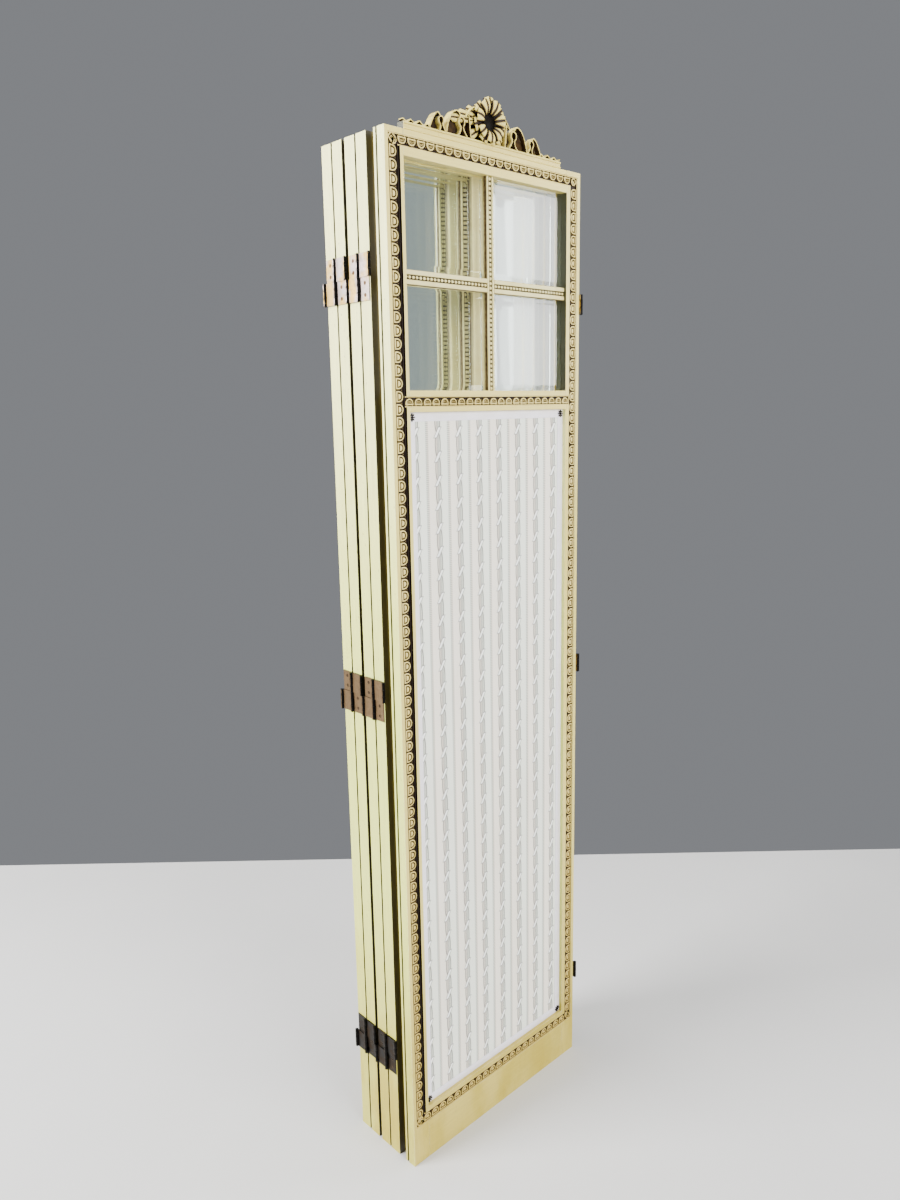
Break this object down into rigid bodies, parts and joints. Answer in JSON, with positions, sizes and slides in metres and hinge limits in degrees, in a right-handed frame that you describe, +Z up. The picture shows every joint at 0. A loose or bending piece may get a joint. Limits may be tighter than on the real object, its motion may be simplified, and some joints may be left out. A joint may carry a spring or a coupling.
{
  "type": "folding room divider screen",
  "caption": "Free-standing folding screen of hinged painted leaves, each with a carved moulding, a glazed window over a fabric panel, and a carved crest on the front leaf.",
  "frame": {"origin": "bottom centre of the bounding box of the folded stack, on the floor", "axes": "+Z up, -Y out of the front leaf's face towards its viewer, +X to that viewer's right"},
  "size_m": [0.4846, 0.1696, 1.884],
  "materials": {
    "painted_frame": "old cream paint with a green cast",
    "carved_paint": "cream paint with brown glaze in the carving",
    "bar_paint": "cream paint, rubbed",
    "pane_glass": "clear, bevelled",
    "panel_fabric": "woven cream stripe",
    "rosette_bronze": "near-black bronze",
    "hinge_brass": "aged brass",
    "fixing_brass": "aged brass",
    "crest_paint": "cream paint with brown glaze in the carving"
  },
  "bodies": {
    "leaf1": {"leaf1_left_stile": "painted_frame", "leaf1_right_stile": "painted_frame", "leaf1_rails": "painted_frame", "leaf1_carved_moulding": "carved_paint", "leaf1_glazing_bars": "bar_paint", "leaf1_glass_panes": "pane_glass", "leaf1_fabric_panel": "panel_fabric", "leaf1_corner_rosettes": "rosette_bronze", "leaf1_hinge_plates": "hinge_brass", "leaf1_hinge_links": "hinge_brass", "leaf1_hinge_fixings": "fixing_brass", "crest_base": "painted_frame", "crest": "crest_paint"},
    "leaf2": {"leaf2_left_stile": "painted_frame", "leaf2_right_stile": "painted_frame", "leaf2_rails": "painted_frame", "leaf2_carved_moulding": "carved_paint", "leaf2_glazing_bars": "bar_paint", "leaf2_glass_panes": "pane_glass", "leaf2_fabric_panel": "panel_fabric", "leaf2_corner_rosettes": "rosette_bronze", "leaf2_hinge_plates": "hinge_brass", "leaf2_hinge_links": "hinge_brass", "leaf2_hinge_fixings": "fixing_brass"},
    "leaf3": {"leaf3_left_stile": "painted_frame", "leaf3_right_stile": "painted_frame", "leaf3_rails": "painted_frame", "leaf3_carved_moulding": "carved_paint", "leaf3_glazing_bars": "bar_paint", "leaf3_glass_panes": "pane_glass", "leaf3_fabric_panel": "panel_fabric", "leaf3_corner_rosettes": "rosette_bronze", "leaf3_hinge_plates": "hinge_brass", "leaf3_hinge_links": "hinge_brass", "leaf3_hinge_fixings": "fixing_brass"},
    "leaf4": {"leaf4_left_stile": "painted_frame", "leaf4_right_stile": "painted_frame", "leaf4_rails": "painted_frame", "leaf4_carved_moulding": "carved_paint", "leaf4_glazing_bars": "bar_paint", "leaf4_glass_panes": "pane_glass", "leaf4_fabric_panel": "panel_fabric", "leaf4_corner_rosettes": "rosette_bronze", "leaf4_hinge_plates": "hinge_brass", "leaf4_hinge_links": "hinge_brass", "leaf4_hinge_fixings": "fixing_brass"},
    "leaf5": {"leaf5_left_stile": "painted_frame", "leaf5_right_stile": "painted_frame", "leaf5_rails": "painted_frame", "leaf5_carved_moulding": "carved_paint", "leaf5_glazing_bars": "bar_paint", "leaf5_glass_panes": "pane_glass", "leaf5_fabric_panel": "panel_fabric", "leaf5_corner_rosettes": "rosette_bronze", "leaf5_hinge_plates": "hinge_brass", "leaf5_hinge_links": "hinge_brass", "leaf5_hinge_fixings": "fixing_brass"}
  },
  "joints": [
    {"name": "leaf2_fold", "type": "hinge", "parent": "leaf3", "child": "leaf2", "pos_m": [-0.23825, -0.0095, 0.9], "axis": [0, 0, -1], "range_deg": [0, 179.4]},
    {"name": "leaf1_fold", "type": "hinge", "parent": "leaf2", "child": "leaf1", "pos_m": [0.23628, -0.05259, 0.9], "axis": [0, 0, 1], "range_deg": [-1.7, 163.3]},
    {"name": "leaf4_fold", "type": "hinge", "parent": "leaf3", "child": "leaf4", "pos_m": [0.238, 0.00538, 0.9], "axis": [0, 0, -1], "range_deg": [-0.5, 179.5]},
    {"name": "leaf5_fold", "type": "hinge", "parent": "leaf4", "child": "leaf5", "pos_m": [-0.23614, 0.05262, 0.9], "axis": [0, 0, 1], "range_deg": [0, 165]}
  ],
  "couplings": [
    {"joint": "leaf4_fold", "follows": "leaf2_fold", "ratio": 1}
  ]
}
